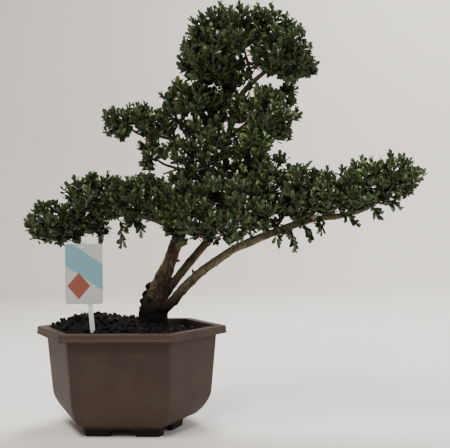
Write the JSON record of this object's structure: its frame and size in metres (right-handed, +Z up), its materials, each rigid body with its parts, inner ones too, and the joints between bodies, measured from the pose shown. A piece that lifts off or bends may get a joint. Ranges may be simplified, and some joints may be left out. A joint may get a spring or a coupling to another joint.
{
  "type": "holly bonsai in pot",
  "caption": "Small-leaved holly bonsai with leafy pads on a leaning trunk, standing in a long six-sided pot with soil and a plant label.",
  "frame": {"origin": "bottom centre of the whole object's bounding box, on the surface the pot stands on", "axes": "+X along the pot's long axis towards the plant's lean, +Z up, the label faces -Y"},
  "size_m": [0.6766, 0.2348, 0.71],
  "materials": {
    "pot": "matte taupe-brown moulded plastic",
    "soil": "dark crumbly potting soil",
    "bark": "grey-brown bark",
    "leaf": "deep green slightly glossy leaves",
    "card": "printed plastic card",
    "stake": "translucent whitish plastic"
  },
  "bodies": {
    "root": {"pot": "pot", "soil": "soil", "trunk_and_branches": "bark", "label_card": "card", "label_stake": "stake", "foliage_crown_left": "leaf", "foliage_crown_right": "leaf", "foliage_middle_left": "leaf", "foliage_middle_right": "leaf", "foliage_middle_inner": "leaf", "foliage_upper_left": "leaf", "foliage_small_spray": "leaf", "foliage_lower_left_tip": "leaf", "foliage_lower_left": "leaf", "foliage_centre_front": "leaf", "foliage_centre_back": "leaf", "foliage_centre_right": "leaf", "foliage_right_inner": "leaf", "foliage_right_tip": "leaf"}
  },
  "joints": []
}
